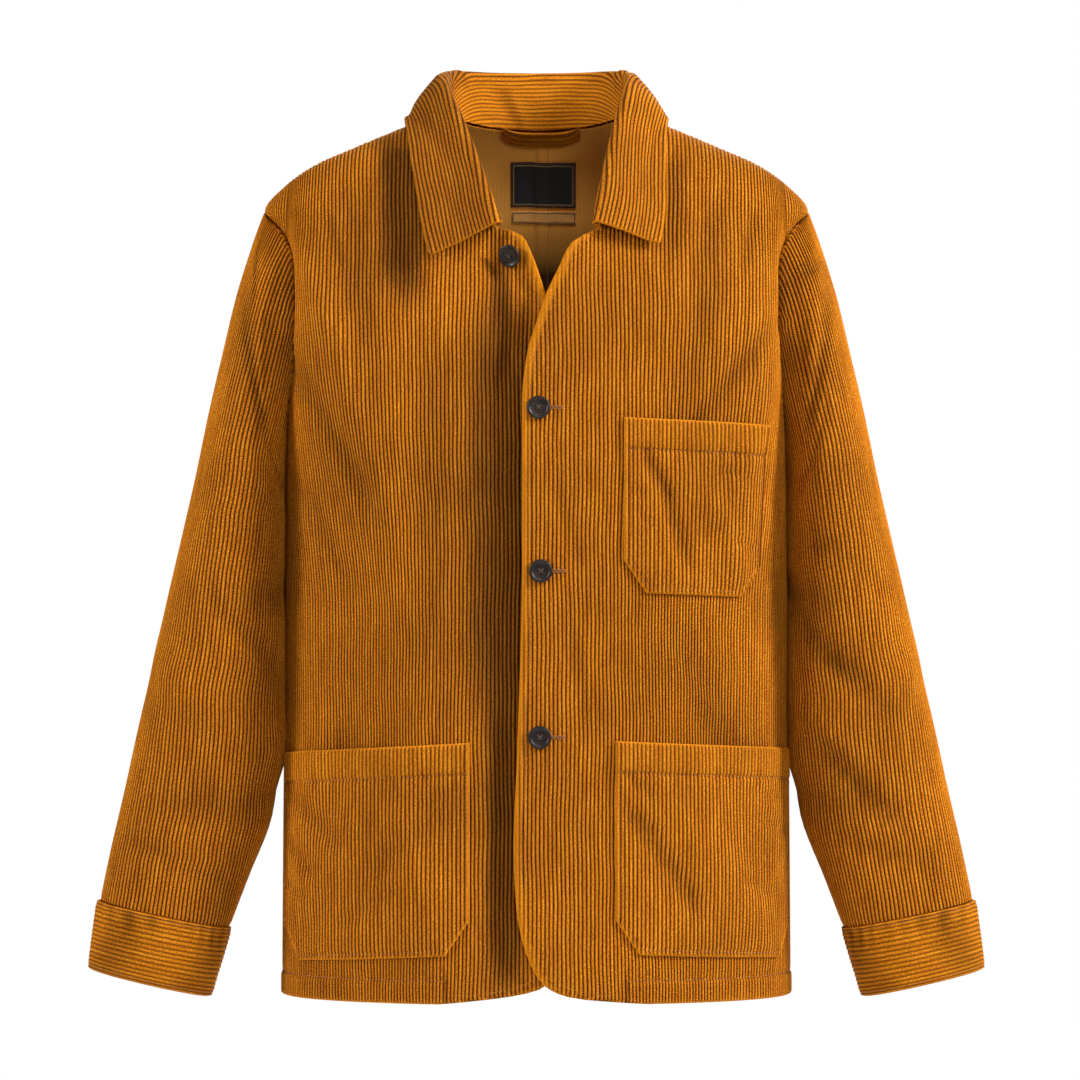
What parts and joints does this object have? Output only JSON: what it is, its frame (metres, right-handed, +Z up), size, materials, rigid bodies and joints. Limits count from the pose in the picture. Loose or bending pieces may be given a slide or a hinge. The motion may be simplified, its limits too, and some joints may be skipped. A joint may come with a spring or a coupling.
{
  "type": "corduroy jacket",
  "caption": "Corduroy work jacket in its worn, hollow form, with a fold-down collar, set-in sleeves, patch pockets, deep cuffs and a button front open at the neck.",
  "frame": {"origin": "between the wearer's shoulders, at the base of the neck and in the side plane, where the wearer holds the jacket up", "axes": "+Z up the wearer; +Y to the wearer's back, so that the front faces -Y; +X to the wearer's left, the side with the chest pocket"},
  "size_m": [0.742, 0.2533, 0.7697],
  "materials": {
    "corduroy": "cotton corduroy, about seven wales to the inch, cut pile, matt with a sheen along the wales",
    "horn_button": "dark horn-like resin, polished",
    "label_black": "woven satin, matt",
    "label_tan": "woven tape, matt"
  },
  "bodies": {
    "root": {"back_left": "corduroy", "back_right": "corduroy", "collar": "corduroy", "cuff_left": "corduroy", "cuff_right": "corduroy", "front_left": "corduroy", "front_right": "corduroy", "hanger_loop": "corduroy", "pocket_chest": "corduroy", "pocket_left": "corduroy", "pocket_right": "corduroy", "sleeve_left": "corduroy", "sleeve_right": "corduroy", "button_1": "horn_button", "button_2": "horn_button", "button_3": "horn_button", "button_4": "horn_button", "neck_label": "label_black", "size_label": "label_tan"}
  },
  "joints": []
}
